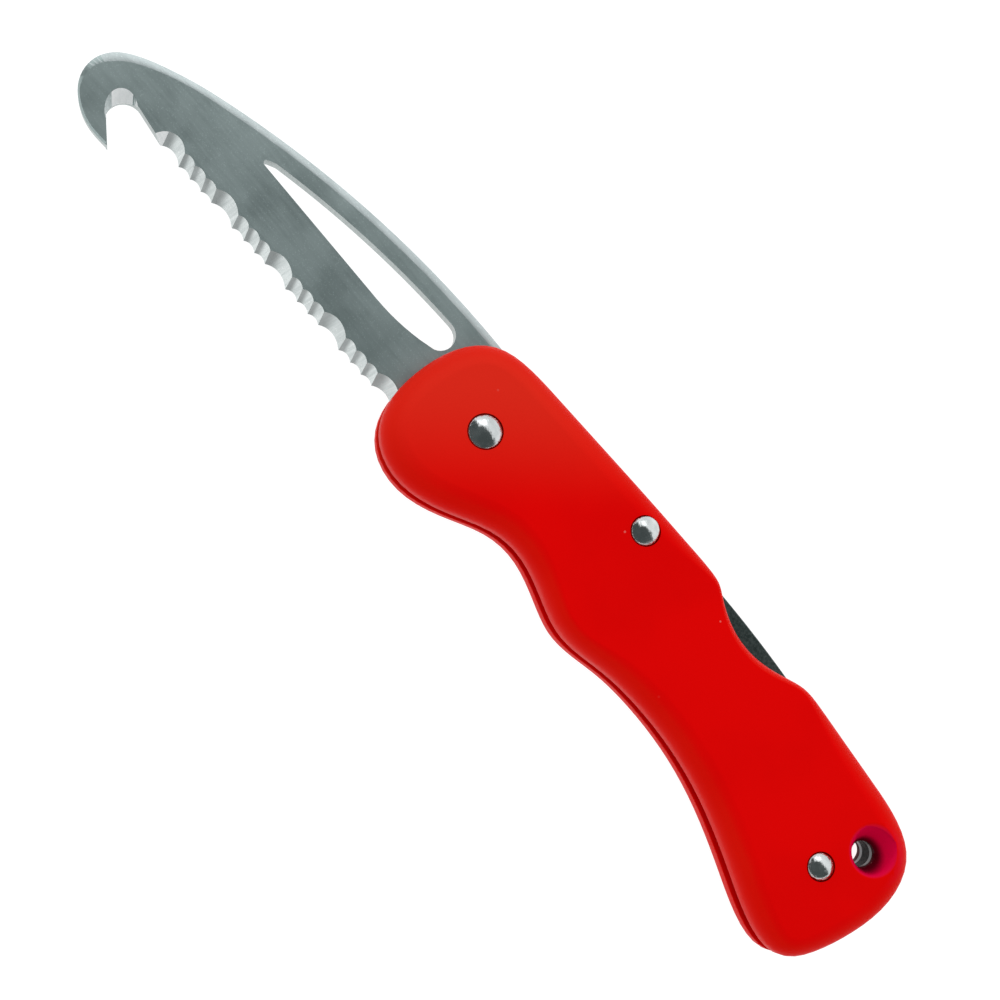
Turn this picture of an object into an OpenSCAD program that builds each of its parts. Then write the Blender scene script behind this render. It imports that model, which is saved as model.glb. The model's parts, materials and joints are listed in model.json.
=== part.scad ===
// Rigging knife: a lock-back folding knife for work on deck. A serrated blade with a line-cutting
// hook folds between two moulded scales, which stand on steel liners round a back spacer.
// The pieces are laid out round the blade's pivot: X runs to the butt, Y to the spine, Z to the
// front scale, and Z = 0 is the middle of the blade. The blade is drawn open and locked.

/* [Handle] */
// Length of the handle
handle_l = 117.4; // [100:0.1:141]
// Height of the handle, from the spine to the lowest corner of the butt
handle_h = 33.4; // [27.8:0.1:40.1]
// Thickness of the handle across both scales
handle_t = 15; // [13:0.1:18]
// Depth of the rounding along a scale's outer edge
edge_round_d = 4; // [2:0.1:4.4]
// Thickness of a liner
liner_t = 1; // [0.8:0.1:1.2]
// How far a liner's edge lies inside the scale's edge
liner_inset = 1.7; // [1.2:0.1:2.2]
// How far the back spacer's edge lies inside the scale's edge
spacer_inset = 0.9; // [0.5:0.1:1.1]

/* [Blade] */
// Thickness of the blade
blade_t = 2.5; // [2:0.1:3]
// Width of the spine bar beside the opening
bar_w = 3.9; // [3.2:0.1:4.6]
// Width of the bevel along the spine
spine_bevel_w = 1.3; // [0.6:0.1:1.6]
// Width of the bevel round the outside of the hook
hook_bevel_w = 1.7; // [1:0.1:2]
// Depth of both outer bevels, on each face
bevel_d = 0.45; // [0.2:0.05:0.6]
// Width of the first scallop, next to the hook
first_scallop_w = 4.5; // [4:0.1:5]
// Width of the other wide scallops
wide_scallop_w = 5.25; // [4.8:0.05:5.4]
// Width of the narrow scallops
narrow_scallop_w = 2.65; // [2.4:0.05:2.7]
// Depth of a wide scallop at the cutting edge
wide_scallop_d = 1; // [0.7:0.05:1.2]
// Depth of a narrow scallop at the cutting edge
narrow_scallop_d = 0.55; // [0.4:0.05:0.7]

/* [Pivot and lock] */
// Outer radius of the bush that the blade turns on
pivot_bush_r = 2.6; // [2.4:0.1:3.1]
// Outer radius of the two washers beside the blade
washer_r = 5.5; // [4.5:0.1:6.5]
// Thickness of a washer
washer_t = 0.2; // [0.15:0.05:0.3]
// Outer radius of the bush that the lock bar rocks on
lock_bush_r = 2.1; // [1.9:0.1:2.4]
// Wall of the lock bar's eye round that bush
lock_eye_wall = 1.3; // [1:0.1:1.6]
// Width of the lock bar's nose at its tip
nose_w = 1; // [0.8:0.1:1.2]
// How deep the nose sits behind the tang's tooth
bite = 1; // [0.7:0.1:1.2]
// Thickness of the leaf of the lock spring
leaf_t = 0.8; // [0.6:0.1:0.9]

/* [Rivets] */
// Head radius of the pivot rivet
pivot_head_r = 2.9; // [2.6:0.1:3.2]
// Shank radius of the pivot rivet
pivot_shank_r = 1.75; // [1.5:0.05:1.9]
// Head radius of the lock rivet
lock_head_r = 2.5; // [2.2:0.1:2.8]
// Shank radius of the lock rivet
lock_shank_r = 1.5; // [1.2:0.05:1.6]
// Head radius of the butt rivet
butt_head_r = 2.35; // [2.1:0.05:2.6]
// Shank radius of the butt rivet
butt_shank_r = 1.3; // [1:0.05:1.4]
// Height of a head's dome
dome_h = 1.3; // [1:0.1:1.6]
// How far the front domes stand proud of the scale
dome_proud = 1.1; // [0.4:0.1:1.3]
// How far the caps' domes stay below the face of the back scale
cap_sunk = 0.1; // [0.05:0.05:0.3]

/* [Lanyard hole] */
// Radius of the straight bore
lanyard_r = 2.2; // [1.8:0.1:2.6]
// Radius of each funnel at the scale's face
funnel_r = 3.9; // [3.2:0.1:4.2]
// Depth of each funnel
funnel_d = 3.6; // [2.5:0.1:3.8]

/* [Clearances] */
// Space between the blade and each washer
face_gap = 0.05; // [0.02:0.01:0.1]
// Radial running clearance of the blade and the lock bar on their bushes
run_gap = 0.05; // [0.02:0.01:0.1]
// Space round a rivet's shank in the scales, liners and bushes
shank_gap = 0.05; // [0.02:0.01:0.1]
// Space round a rivet's head in its counterbore, and round a liner in its recess
seat_gap = 0.1; // [0.05:0.01:0.15]
// Space between the lock bar's nose and the walls of the notch
lock_gap = 0.04; // [0.02:0.01:0.08]
// Space between the folded blade and the back spacer
fold_gap = 0.35; // [0.3:0.05:0.8]

/* [Hidden] */
$fn = 96;
far = 200;

// ---- curves ----

// Point of a uniform cubic B-spline on its span i, with t from 0 to 1
function spline_point(p, i, t) =
    let (n = len(p), a = p[i], b = p[(i + 1) % n], c = p[(i + 2) % n], d = p[(i + 3) % n])
    (pow(1 - t, 3) * a + (3 * pow(t, 3) - 6 * pow(t, 2) + 4) * b
        + (-3 * pow(t, 3) + 3 * pow(t, 2) + 3 * t + 1) * c + pow(t, 3) * d) / 6;
function closed_spline(p, steps) =
    [for (i = [0 : len(p) - 1], k = [0 : steps - 1]) spline_point(p, i, k / steps)];
function open_spline(p, steps) =
    [for (i = [0 : len(p) - 4], k = [0 : steps - 1]) spline_point(p, i, k / steps)];
function arc(c, r, from, to, steps) =
    [for (i = [0 : steps]) let (a = from + (to - from) * i / steps) c + r * [cos(a), sin(a)]];
// Unit vectors that point into a clockwise outline, one at each of its points
function inward(c) = [for (i = [0 : len(c) - 1])
    let (u = c[(i + 1) % len(c)] - c[(i + len(c) - 1) % len(c)]) [u[1], -u[0]] / norm(u)];
function inset(c, d) = let (n = inward(c)) [for (i = [0 : len(c) - 1]) c[i] + d * n[i]];
function column(c, k) = [for (p = c) p[k]];

// ---- outline of the handle ----

// Control points, clockwise from the front: X, Y and the width of the edge rounding there
handle_points = [
    [-14.8, -2, 4.5], [-14, 6, 4.5], [-10, 12.2, 4.5], [-3, 13.9, 4.5], [6, 14.1, 4.5],
    [16, 14.6, 4.5], [27, 15, 4.5], [36, 15.2, 3.5], [42, 15.2, 2], [44.5, 14.7, 1.5],
    [47, 13, 1.5], [51, 11.5, 2], [55, 11, 2], [59, 11.5, 2], [63, 13, 1.5], [66.5, 14.6, 1.5],
    [70, 14.6, 2.5], [78, 14, 4], [86, 13.3, 4.5], [94, 12.6, 4.5], [100.5, 9.6, 4.5],
    [103.2, 2, 4.5], [102.2, -6, 4.5], [99.8, -13.8, 4], [96.4, -19, 3.5], [89, -18.2, 4],
    [80, -14.5, 4.5], [71, -11.3, 4.5], [62, -9.3, 4.5], [53, -8.7, 4.5], [44, -9.2, 4],
    [38, -10.9, 3], [32.5, -11.6, 2.5], [27, -9.7, 3], [20, -7.4, 4], [13, -8.2, 4.5],
    [6, -12.8, 4.5], [-2, -16, 4.5], [-10, -14.4, 4.5], [-14, -9, 4.5]];
drawn = closed_spline(handle_points, 4);
kx = handle_l / (max(column(drawn, 0)) - min(column(drawn, 0)));
ky = handle_h / (max(column(drawn, 1)) - min(column(drawn, 1)));
function at(x, y) = [x * kx, y * ky];
outline = [for (p = drawn) at(p[0], p[1])];
round_w = column(drawn, 2);

// ---- layers, from the middle of the blade outwards ----

slot_h = blade_t / 2 + face_gap + washer_t;
face_h = handle_t / 2;
bar_t = blade_t;

// ---- outline of the blade ----

// The spine is one wide arc; its middle lies far below the pivot
spine_drop = 13 * ky;
spine_r = 186.5 * kx * kx / ky;
spine_c = [-11 * kx, spine_drop - spine_r];
function spine_y(x, r = spine_r) = spine_c[1] + sqrt(r * r - pow(x - spine_c[0], 2));
function spine_angle(x, r = spine_r) = acos((x - spine_c[0]) / r);

// The hook keeps its shape, is as large as the blade is high, and hangs from this point
hook_x = -73.5 * kx;
hook_base = [hook_x, spine_y(hook_x)];
function hook(x, y) = hook_base + ky * [x, y];
hook_point = hook(-0.7, -18.4);
function on_spine(x) = [x, spine_y(x)];
hook_outer = concat([for (d = [12, 8, 4, 0]) on_spine(hook_x + d * ky)],
    [hook(-5.6, -2.5), hook(-9.4, -4.6), hook(-12.6, -7.2), hook(-13.8, -11), hook(-12.4, -15.1),
     hook(-8.8, -17.7), hook(-5, -18.8), hook_point, hook_point, hook_point]);
gullet_c = hook(-2.7, -13.4);
gullet_r = 3.1 * ky;

// The cutting edge runs from the gullet to the heel, and the scallops are cut along it
edge_start = hook(4.2, -11.2);
scallop_count = 17;
function is_wide(i) = i % 4 == 0;
function scallop_w(i) = i == 0 ? first_scallop_w : is_wide(i) ? wide_scallop_w : narrow_scallop_w;
function scallop_x(i) = i == 0 ? 0 : scallop_x(i - 1) + scallop_w(i - 1);
edge_slope = 1.2;
heel = edge_start + scallop_x(scallop_count) * [cos(edge_slope), sin(edge_slope)];
// What a scallop's cutter moves between the blade's two faces: along the blade and up it
wide_rise = [-0.6, 1.8];
narrow_rise = [-0.7, 1.6];

// The tang is round behind the pivot, with a notch and a tooth for the nose of the lock bar
nose_x = 3.1;
nose_slope = 0.6;
nose_h = 1.3;
nose_y = 10 * ky;
tooth_w = 1.15;
tang_r = nose_y + 0.2;
notch_y = nose_y - 0.3;
tooth_x = nose_x + nose_w + lock_gap;
tooth_top = nose_y + bite;
tooth_back = tooth_x + tooth_w - 0.3;
shoulder_x = nose_x - nose_slope - lock_gap;

blade_back = concat(
    arc(spine_c, spine_r, spine_angle(shoulder_x), spine_angle(hook_x + 9 * ky), 24),
    open_spline(hook_outer, 5));
blade_outline = concat(
    blade_back,
    [hook_point],
    arc(gullet_c, gullet_r, 205, 82, 12),
    [edge_start, heel, heel + [2, -0.4 * ky]],
    arc([0, 0], tang_r, -112, acos(tooth_back / tang_r), 30),
    [[tooth_x + tooth_w, tooth_top], [tooth_x, tooth_top], [tooth_x, notch_y],
     [nose_x - lock_gap + 0.14, notch_y], [shoulder_x, nose_y + nose_h]]);
reach = max([for (p = blade_outline) norm(p)]);

// The opening under the spine bar: a long drop, sharp to the front and round to the rear
opening_y = 1.9 * ky;
opening_r = spine_r - bar_w;
rear_c = at(-17, 6.25);
rear_r = 2.7 * ky;
front_r = 0.5 * ky;
opening_outline = concat(
    arc(rear_c, rear_r, -62, 88, 12),
    arc(spine_c, opening_r, spine_angle(-17.5 * kx, opening_r), spine_angle(-55.5 * kx, opening_r), 14),
    arc(at(-56.6, 2.4), front_r, 110, 270, 6),
    arc([-28 * kx, opening_y + 40 * ky], 40 * ky, -90, -76, 6));

// ---- rivets, spring and spacer ----

lock_rivet_at = at(29.2, 10);
spacer_r = reach + fold_gap;
rivet_wall = 0.5;
butt_rivet_r = spacer_r + rivet_wall + butt_shank_r;
butt_rivet_at = butt_rivet_r * [cos(-2.4), sin(-2.4)];
lanyard_at = at(93.9, 4);
funnel_lean = [-0.3, 0.9];
rim_h = 0.8;

tail_x = 69.5 * kx;
tail_y = 8.9 * ky;
leaf_y = 10 * ky;
leaf_slot_l = 8;
bar_end = tail_x - 0.6;
bar_under = leaf_y + leaf_t + 0.2;
nose_top = nose_y + nose_h;
bar_outline = concat(
    [[nose_x - nose_slope, nose_top], [nose_x, nose_y], [nose_x + nose_w, nose_y],
     [nose_x + nose_w, nose_top], at(8, 0) + [0, nose_top], at(14.5, 10.4), at(24, 8.4)],
    arc(lock_rivet_at, lock_bush_r + run_gap + lock_eye_wall, 235, 305, 10),
    [at(36, 9.3), [43 * kx, bar_under], [bar_end, bar_under], [bar_end, 13.3 * ky]],
    [for (i = [0 : 12]) let (x = 68 - i * 3) at(x, 14.95 - pow((x - 47) / 21, 2) * (x > 47 ? 1 : 0.2))],
    [at(20, 14.4), at(10, 13.9), [nose_x - nose_slope, 13.6 * ky]]);

// ---- the row frame: under the middle of the open knife, on the surface that it lies on ----

all_points = concat(outline, blade_outline);
middle = [for (k = [0, 1]) (max(column(all_points, k)) + min(column(all_points, k))) / 2];
module placed() translate([-middle[0], -middle[1], face_h]) children();

// ---- shared shapes ----

// A flat plate of the given outline between two heights
module plate(points, low, high) translate([0, 0, low]) linear_extrude(high - low) polygon(points);
// A round bar along Z between two heights
module bar(p, r, low, high) translate([p[0], p[1], low]) cylinder(r = r, h = high - low);

// Skin of a scale: rings of the outline that step inwards round a quarter of an ellipse
module skin() {
    n = len(outline);
    way = inward(outline);
    steps = 7;
    base = face_h - edge_round_d;
    lift = 0.05;
    levels = concat([[slot_h - 1, 0]], [for (k = [0 : steps]) let (a = 90 * k / steps)
        [base + (edge_round_d + lift) * sin(a), 1 - cos(a)]]);
    top = len(levels) - 1;
    polyhedron(
        points = [for (l = levels, i = [0 : n - 1])
            let (p = outline[i] + l[1] * round_w[i] * way[i]) [p[0], p[1], l[0]]],
        faces = concat(
            [[for (i = [n - 1 : -1 : 0]) i]],
            [for (k = [0 : top - 1], i = [0 : n - 1], half = [0, 1])
                let (a = k * n + i, b = k * n + (i + 1) % n)
                half == 0 ? [a, b, b + n] : [a, b + n, a + n]],
            [[for (i = [0 : n - 1]) top * n + i]]));
}

// One scale, above the slot, with the recess for its liner and its holes
module scale_shape(head_depth) {
    difference() {
        intersection() {
            skin();
            translate([-far, -far, slot_h]) cube([2 * far, 2 * far, face_h - slot_h]);
        }
        plate(inset(outline, liner_inset - seat_gap), slot_h - 1, slot_h + liner_t);
        rivet_room([0, 0], pivot_shank_r, pivot_head_r, head_depth);
        rivet_room(lock_rivet_at, lock_shank_r, lock_head_r, head_depth);
        rivet_room(butt_rivet_at, butt_shank_r, butt_head_r, head_depth);
        lanyard_bore();
        lanyard_funnel();
    }
}
module rivet_room(p, shank_r, head_r, head_depth) {
    bar(p, shank_r + shank_gap, -far, far);
    bar(p, head_r + seat_gap, face_h - head_depth, far);
}
module lanyard_bore() bar(lanyard_at, lanyard_r, -far, far);
// A cone that leans towards the spine, so that a line leaves the bore that way
module lanyard_funnel() {
    lean = [funnel_lean[0], funnel_lean[1], funnel_d];
    widen = (funnel_r - lanyard_r) / funnel_d;
    sunk = 0.25;
    over = 1.4;
    translate([lanyard_at[0], lanyard_at[1], face_h - funnel_d] - sunk * lean)
        rotate([0, acos(lean[2] / norm(lean)), atan2(lean[1], lean[0])])
            cylinder(r1 = lanyard_r - sunk * widen * funnel_d,
                r2 = lanyard_r + (over - sunk) * widen * funnel_d, h = over * norm(lean));
}

module liner_shape() {
    difference() {
        plate(inset(outline, liner_inset), slot_h, slot_h + liner_t);
        bar([0, 0], pivot_shank_r + shank_gap, 0, far);
        bar(lock_rivet_at, lock_shank_r + shank_gap, 0, far);
        bar(butt_rivet_at, butt_shank_r + shank_gap, 0, far);
        lanyard_bore();
    }
}

// A round head with a domed top, standing on z = 0
module domed_head(r) {
    ball_r = (r * r + dome_h * dome_h) / (2 * dome_h);
    intersection() {
        cylinder(r = r, h = rim_h + dome_h);
        translate([0, 0, rim_h + dome_h - ball_r]) sphere(r = ball_r);
    }
}
// How deep each head's seat lies below the scale's face, and how far a shank enters its cap
front_seat = rim_h + dome_h - dome_proud;
back_seat = rim_h + dome_h + cap_sunk;
cap_bore_d = 1;

module rivet(p, shank_r, head_r) color([0.78, 0.8, 0.8]) {
    bar(p, shank_r, -face_h + back_seat - cap_bore_d, face_h - front_seat + 0.1);
    translate([p[0], p[1], face_h - front_seat]) domed_head(head_r);
}
module rivet_cap(p, shank_r, head_r) color([0.72, 0.74, 0.74]) difference() {
    translate([p[0], p[1], -face_h + back_seat]) mirror([0, 0, 1]) domed_head(head_r);
    bar(p, shank_r, -face_h + back_seat - cap_bore_d, 0);
}
module bush(p, outer_r, shank_r) color([0.72, 0.6, 0.35]) difference() {
    bar(p, outer_r, -slot_h, slot_h);
    bar(p, shank_r + shank_gap, -far, far);
}
module washer_shape() color([0.8, 0.6, 0.3]) difference() {
    bar([0, 0], washer_r, slot_h - washer_t, slot_h);
    bar([0, 0], pivot_bush_r + shank_gap, 0, far);
}

// ---- cutters for the blade ----

// A round cutter through point p of the rear face that moves by rise before the front face
module leaning_cutter(p, r, rise) {
    way = [rise[0], rise[1], blade_t];
    translate([p[0], p[1], -blade_t / 2] - way)
        rotate([0, -acos(blade_t / norm(way)), atan2(-rise[1], -rise[0])])
            cylinder(r = r, h = 5 * norm(way));
}
// The cutter's radius follows from the scallop's width and depth on the rear face
module scallop(i) {
    rise = is_wide(i) ? wide_rise : narrow_rise;
    stretch = norm([rise[1], blade_t]) / blade_t;
    depth = is_wide(i) ? wide_scallop_d : narrow_scallop_d;
    sag = depth / stretch;
    r = (pow(scallop_w(i) / 2, 2) + sag * sag) / (2 * sag);
    middle_of_width = scallop_x(i) + scallop_w(i) / 2;
    tip = edge_start + middle_of_width * [cos(edge_slope), sin(edge_slope)];
    leaning_cutter(tip + [0, depth - r * stretch], r, rise);
}
// A strip that bevels the blade's back on the front face, from the tang round to the hook's point.
// Its width swells on the shoulder of the hook and dies out behind the point.
module back_bevel() {
    first = 2;
    last = len(blade_back) - 4;
    n = last - first + 1;
    spine_end = 25;
    over = 0.5;
    run_in = [0.4, 0];
    way = inward(blade_outline);
    function width(i) = lookup((i - spine_end) / (last - spine_end),
        [[0, spine_bevel_w], [0.25, spine_bevel_w * 0.9], [0.5, hook_bevel_w], [0.72, 0.35], [1, 0.3]]);
    // Corners of the strip's section at point i, as distance into the blade and height
    function section(w) = [[w * (1 + over), blade_t / 2 + over * bevel_d],
        [-over, blade_t / 2 - bevel_d * (1 + over / w)], [-over, blade_t], [w * (1 + over), blade_t]];
    polyhedron(
        points = [for (i = [first : last], q = section(width(i)))
            let (p = blade_back[i] - q[0] * way[i] + (i == first ? run_in : [0, 0]))
                [p[0], p[1], q[1]]],
        faces = concat([[2, 1, 0], [3, 2, 0]],
            [for (i = [0 : n - 2], k = [0 : 3], half = [0, 1])
                let (a = 4 * i + k, b = 4 * i + (k + 1) % 4)
                half == 0 ? [b + 4, a + 4, a] : [b, b + 4, a]],
            [[for (k = [0, 1, 2]) 4 * (n - 1) + k], [for (k = [0, 2, 3]) 4 * (n - 1) + k]]));
}

// ---- the pieces ----

module scale_front() color([0.85, 0.02, 0.01]) scale_shape(front_seat);
module scale_back() color([0.85, 0.02, 0.01]) mirror([0, 0, 1]) scale_shape(back_seat);
module liner_front() color([0.6, 0.62, 0.63]) liner_shape();
module liner_back() color([0.6, 0.62, 0.63]) mirror([0, 0, 1]) liner_shape();

// The spacer fills the butt outside the hook's path, with a tail along the spine for the spring
module back_spacer() color([0.13, 0.13, 0.14]) difference() {
    plate(inset(outline, spacer_inset), -slot_h, slot_h);
    translate([tail_x - far, -far, -far]) cube([far, 2 * far, 2 * far]);
    intersection() {
        bar([0, 0], spacer_r, -far, far);
        translate([0, tail_y - far, -far]) cube([far, far, 2 * far]);
    }
    translate([tail_x - 1, leaf_y - 0.03, -far]) cube([leaf_slot_l + 1, leaf_t + 0.06, 2 * far]);
    bar(butt_rivet_at, butt_shank_r + shank_gap, -far, far);
    lanyard_bore();
}

module blade() color([0.45, 0.5, 0.5]) difference() {
    plate(blade_outline, -blade_t / 2, blade_t / 2);
    plate(opening_outline, -blade_t, blade_t);
    bar([0, 0], pivot_bush_r + run_gap, -far, far);
    for (i = [0 : scallop_count - 1]) scallop(i);
    leaning_cutter(gullet_c + ky * [0.56, -1], 2.67 * ky, ky * [-1.8, 1.6]);
    for (side = [0, 1]) mirror([0, 0, side]) back_bevel();
}

module lock_bar() color([0.2, 0.24, 0.23]) difference() {
    plate(bar_outline, -bar_t / 2, bar_t / 2);
    bar(lock_rivet_at, lock_bush_r + run_gap, -far, far);
}

// A straight leaf: its rear end is held in the spacer's tail, its tip bears on the lock bar
module lock_spring() color([0.35, 0.38, 0.4]) plate([
    [45.5 * kx, bar_under - 0.03 - leaf_t], [tail_x, leaf_y], [tail_x + leaf_slot_l - 0.3, leaf_y],
    [tail_x + leaf_slot_l - 0.3, leaf_y + leaf_t], [tail_x, leaf_y + leaf_t],
    [45.5 * kx, bar_under - 0.03]], -bar_t / 2, bar_t / 2);

module pivot_bush() bush([0, 0], pivot_bush_r, pivot_shank_r);
module pivot_washer_front() washer_shape();
module pivot_washer_back() mirror([0, 0, 1]) washer_shape();
module pivot_rivet() rivet([0, 0], pivot_shank_r, pivot_head_r);
module pivot_rivet_cap() rivet_cap([0, 0], pivot_shank_r, pivot_head_r);
module lock_bush() bush(lock_rivet_at, lock_bush_r, lock_shank_r);
module lock_rivet() rivet(lock_rivet_at, lock_shank_r, lock_head_r);
module lock_rivet_cap() rivet_cap(lock_rivet_at, lock_shank_r, lock_head_r);
module butt_rivet() rivet(butt_rivet_at, butt_shank_r, butt_head_r);
module butt_rivet_cap() rivet_cap(butt_rivet_at, butt_shank_r, butt_head_r);

placed() scale_front();
placed() scale_back();
placed() liner_front();
placed() liner_back();
placed() back_spacer();
placed() blade();
placed() lock_bar();
placed() lock_spring();
placed() pivot_bush();
placed() pivot_washer_front();
placed() pivot_washer_back();
placed() pivot_rivet();
placed() pivot_rivet_cap();
placed() lock_bush();
placed() lock_rivet();
placed() lock_rivet_cap();
placed() butt_rivet();
placed() butt_rivet_cap();
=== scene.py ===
# %% [markdown]
# A folding rigging knife, dressed for its portrait
#
# The knife's working parts come ready made from CAD: two moulded scales on steel liners, a blade that
# turns on a bush, a lock bar that rocks on another, a leaf spring and three rivets. This lesson keeps
# every part where it is and gives it the shape and the finish that hands, moulds and grinding wheels
# would leave on it. The pieces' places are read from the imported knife, in metres.

import json
import math

import bpy
from mathutils import Matrix, Vector

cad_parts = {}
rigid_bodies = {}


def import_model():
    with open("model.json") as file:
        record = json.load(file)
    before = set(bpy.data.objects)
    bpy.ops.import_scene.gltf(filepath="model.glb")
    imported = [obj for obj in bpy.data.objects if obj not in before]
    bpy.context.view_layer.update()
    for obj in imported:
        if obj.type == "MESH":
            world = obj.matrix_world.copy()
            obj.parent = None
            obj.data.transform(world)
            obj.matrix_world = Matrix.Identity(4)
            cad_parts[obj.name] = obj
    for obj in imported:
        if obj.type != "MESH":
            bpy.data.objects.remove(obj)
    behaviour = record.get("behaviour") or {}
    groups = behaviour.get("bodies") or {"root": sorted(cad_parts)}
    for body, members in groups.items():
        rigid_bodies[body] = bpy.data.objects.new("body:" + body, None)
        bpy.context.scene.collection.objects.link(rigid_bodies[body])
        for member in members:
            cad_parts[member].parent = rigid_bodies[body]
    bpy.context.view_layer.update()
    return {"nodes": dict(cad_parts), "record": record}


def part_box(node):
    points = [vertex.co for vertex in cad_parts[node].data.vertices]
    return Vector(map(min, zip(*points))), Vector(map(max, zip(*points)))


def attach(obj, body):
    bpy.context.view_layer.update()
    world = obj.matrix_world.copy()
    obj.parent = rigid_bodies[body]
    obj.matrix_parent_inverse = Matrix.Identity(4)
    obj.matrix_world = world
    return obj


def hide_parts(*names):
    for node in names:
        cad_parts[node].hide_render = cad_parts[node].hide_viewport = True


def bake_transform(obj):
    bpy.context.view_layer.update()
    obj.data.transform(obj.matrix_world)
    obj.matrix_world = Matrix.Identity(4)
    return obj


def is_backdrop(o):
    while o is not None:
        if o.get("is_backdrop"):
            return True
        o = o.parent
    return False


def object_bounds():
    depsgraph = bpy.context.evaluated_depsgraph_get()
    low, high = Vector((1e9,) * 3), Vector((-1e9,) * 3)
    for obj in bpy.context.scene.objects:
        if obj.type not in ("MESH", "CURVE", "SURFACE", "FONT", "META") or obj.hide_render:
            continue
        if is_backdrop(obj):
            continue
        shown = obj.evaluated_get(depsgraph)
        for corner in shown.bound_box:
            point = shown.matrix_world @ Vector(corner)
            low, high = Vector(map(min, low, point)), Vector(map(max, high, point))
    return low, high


bpy.ops.object.select_all(action="SELECT")
bpy.ops.object.delete()
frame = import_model()
nodes = frame["nodes"]
MM = 0.001

# %% [markdown]
# The camera looks down on the knife, a little from the belly side, and rolls so that the blade points
# to the upper left. Its three directions are set straight into its matrix, because a roll like this
# one is hard to read from three angles.

# %% Camera
FOCAL_LENGTH, SENSOR_WIDTH = 61.2, 36
RIGHT = Vector((0.64224, 0.73986, 0.20033))
UP = Vector((-0.76534, 0.63337, 0.11447))
BACK = Vector((-0.04219, -0.22684, 0.97302))
FROM_PIVOT = Vector((-1.62, -67.45, 273.41)) * MM
pivot = (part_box("pivot_bush")[0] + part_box("pivot_bush")[1]) / 2
lens_block = bpy.data.cameras.new("portrait_lens")
lens_block.lens = FOCAL_LENGTH
lens_block.sensor_width = SENSOR_WIDTH
camera = bpy.data.objects.new("portrait_camera", lens_block)
bpy.context.scene.collection.objects.link(camera)
camera.matrix_world = (Matrix.Translation(pivot + FROM_PIVOT)
                       @ Matrix((RIGHT, UP, BACK)).transposed().to_4x4())
bpy.context.scene.camera = camera
bpy.context.scene.view_settings.view_transform = "Standard"
print("camera at", [round(c / MM, 1) for c in camera.matrix_world.translation], "mm")

# %% [markdown]
# The knife lies on white paper, which fills the whole view. Paper lit so brightly that it looks pure
# white would need very strong lamps, and they would wash out the handle. So the paper glows by
# itself, and its own colour is kept low, so that it hardly takes part in the lamps' light.

# %% The paper
TABLE_WIDTH = 6
PAPER_GLOW = 0.94


def deselect():
    """Back to object mode, with nothing selected."""
    if bpy.context.object and bpy.context.object.mode != "OBJECT":
        bpy.ops.object.mode_set(mode="OBJECT")
    bpy.ops.object.select_all(action="DESELECT")


deselect()
bpy.ops.mesh.primitive_plane_add(size=TABLE_WIDTH, location=(0, 0, 0))
table_top = bpy.context.object
table_top.name = "table_top"
paper = bpy.data.materials.new("paper_white")
paper.use_nodes = True
paper_shader = paper.node_tree.nodes["Principled BSDF"]
paper_shader.inputs["Base Color"].default_value = (0.20, 0.202, 0.204, 1)
paper_shader.inputs["Roughness"].default_value = 0.8
paper_shader.inputs["Specular IOR Level"].default_value = 0.1
paper_shader.inputs["Emission Color"].default_value = (1, 1, 1, 1)
paper_shader.inputs["Emission Strength"].default_value = PAPER_GLOW
table_top.data.materials.append(paper)
table_top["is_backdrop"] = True
print("paper laid,", TABLE_WIDTH, "m wide")

# %% [markdown]
# Around the paper stands a light tent. A mask over its walls says how far each lies along a chosen
# direction, and a mix of two tones follows the mask. These small helpers build the nodes, here and in
# every material later.

# %% Helpers for nodes
def connect(tree, source, target):
    """Draws one link between two sockets."""
    tree.links.new(source, target)


def remap(tree, value, low, high, to_low=0.0, to_high=1.0, smooth=True):
    """Stretches low..high to to_low..to_high, and holds it at the ends."""
    node = tree.nodes.new("ShaderNodeMapRange")
    node.interpolation_type = "SMOOTHSTEP" if smooth else "LINEAR"
    for label, number in (("From Min", low), ("From Max", high),
                          ("To Min", to_low), ("To Max", to_high)):
        node.inputs[label].default_value = number
    connect(tree, value, node.inputs["Value"])
    return node.outputs["Result"]


def blend_colour(tree, mask, first, second):
    """A colour that runs from first to second with the mask. Each is a colour or a socket."""
    node = tree.nodes.new("ShaderNodeMix")
    node.data_type = "RGBA"
    connect(tree, mask, node.inputs["Factor"])
    for label, colour in (("A", first), ("B", second)):
        if isinstance(colour, bpy.types.NodeSocket):
            connect(tree, colour, node.inputs[label])
        else:
            node.inputs[label].default_value = (*colour, 1)
    return node.outputs["Result"]


studio = bpy.data.worlds.new("studio")
bpy.context.scene.world = studio
studio.use_nodes = True
sky = studio.node_tree
direction = sky.nodes.new("ShaderNodeTexCoord")


def towards(way, low, high):
    """A mask over the studio's walls: 0 where they lie away from way, 1 where they lie along it."""
    facing = sky.nodes.new("ShaderNodeVectorMath")
    facing.operation = "DOT_PRODUCT"
    facing.inputs[1].default_value = Vector(way).normalized()
    connect(sky, direction.outputs["Generated"], facing.inputs[0])
    return remap(sky, facing.outputs["Value"], low, high)


# %% [markdown]
# Steel shows what it mirrors, and nylon shows what lights it. A studio sets the two apart with cards:
# black ones where the metal should go dark, placed so that they take little light from the rest. Here
# the Light Path node does the same. Rays that light a surface see a soft tent, brighter on the spine's
# side. Rays that a surface mirrors see a white tent with a black card, from overhead down the belly's
# side. Level satin steel looks into that card and goes grey, while bevels look at the white and shine.

# %% The light tent and its cards
SPINE_SIDE, BELLY_SIDE = (0.90, 0.91, 0.92), (0.44, 0.45, 0.46)
WHITE_CARD, BLACK_CARD = (1.06, 1.08, 1.09), (0.085, 0.100, 0.100)
SPINEWARD, UNDER_CARD, OVERHEAD = (-0.20, 0.66, 0.72), (0.05, -0.965, 0.255), (0, 0, 1)

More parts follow.
